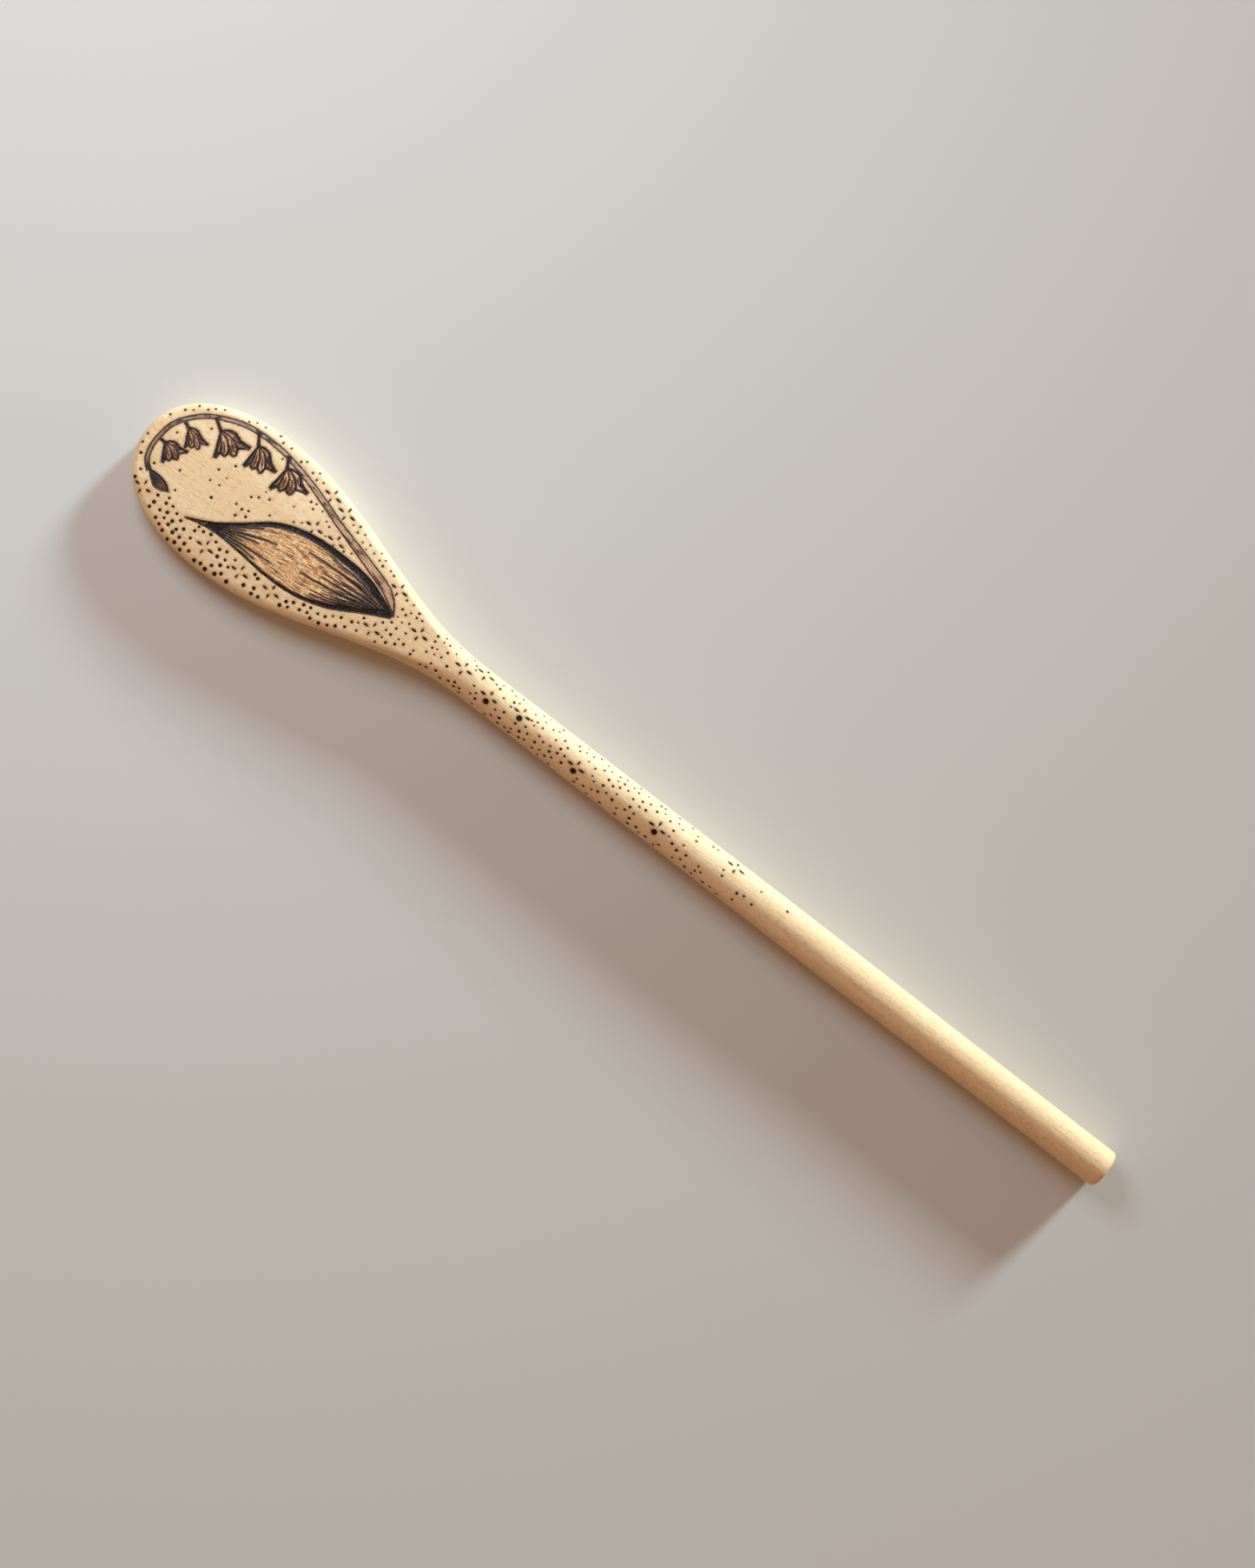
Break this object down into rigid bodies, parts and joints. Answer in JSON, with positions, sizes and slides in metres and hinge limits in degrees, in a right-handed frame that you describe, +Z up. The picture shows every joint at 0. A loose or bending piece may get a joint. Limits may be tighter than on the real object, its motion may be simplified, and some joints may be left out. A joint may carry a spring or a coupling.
{
  "type": "wooden spoon",
  "caption": "Long-handled turned wooden spoon with an oval head, a shallow bowl and a round handle, its back decorated with a burned flower, leaf and dots.",
  "frame": {"origin": "under the middle of the spoon's length and width, in the plane of the bowl's rim, on which the spoon lies face down", "axes": "+X from the head to the end of the handle, +Z up out of the decorated back, +Y across the head"},
  "size_m": [0.305, 0.0402, 0.0105],
  "materials": {
    "bare_wood": "sanded smooth, unfinished",
    "scorched_wood": "lightly burned",
    "charred_wood": "burned black, slightly glossy"
  },
  "bodies": {
    "root": {"wooden_spoon": "bare_wood", "stem": "scorched_wood", "leaf_outline": "charred_wood", "leaf_blade": "scorched_wood", "bell_1": "charred_wood", "bell_2": "charred_wood", "bell_3": "charred_wood", "bell_4": "charred_wood", "bell_5": "charred_wood", "bud": "scorched_wood", "blossoms_head": "charred_wood", "blossoms_neck": "charred_wood", "dots_head": "charred_wood", "dots_neck": "charred_wood"}
  },
  "joints": []
}
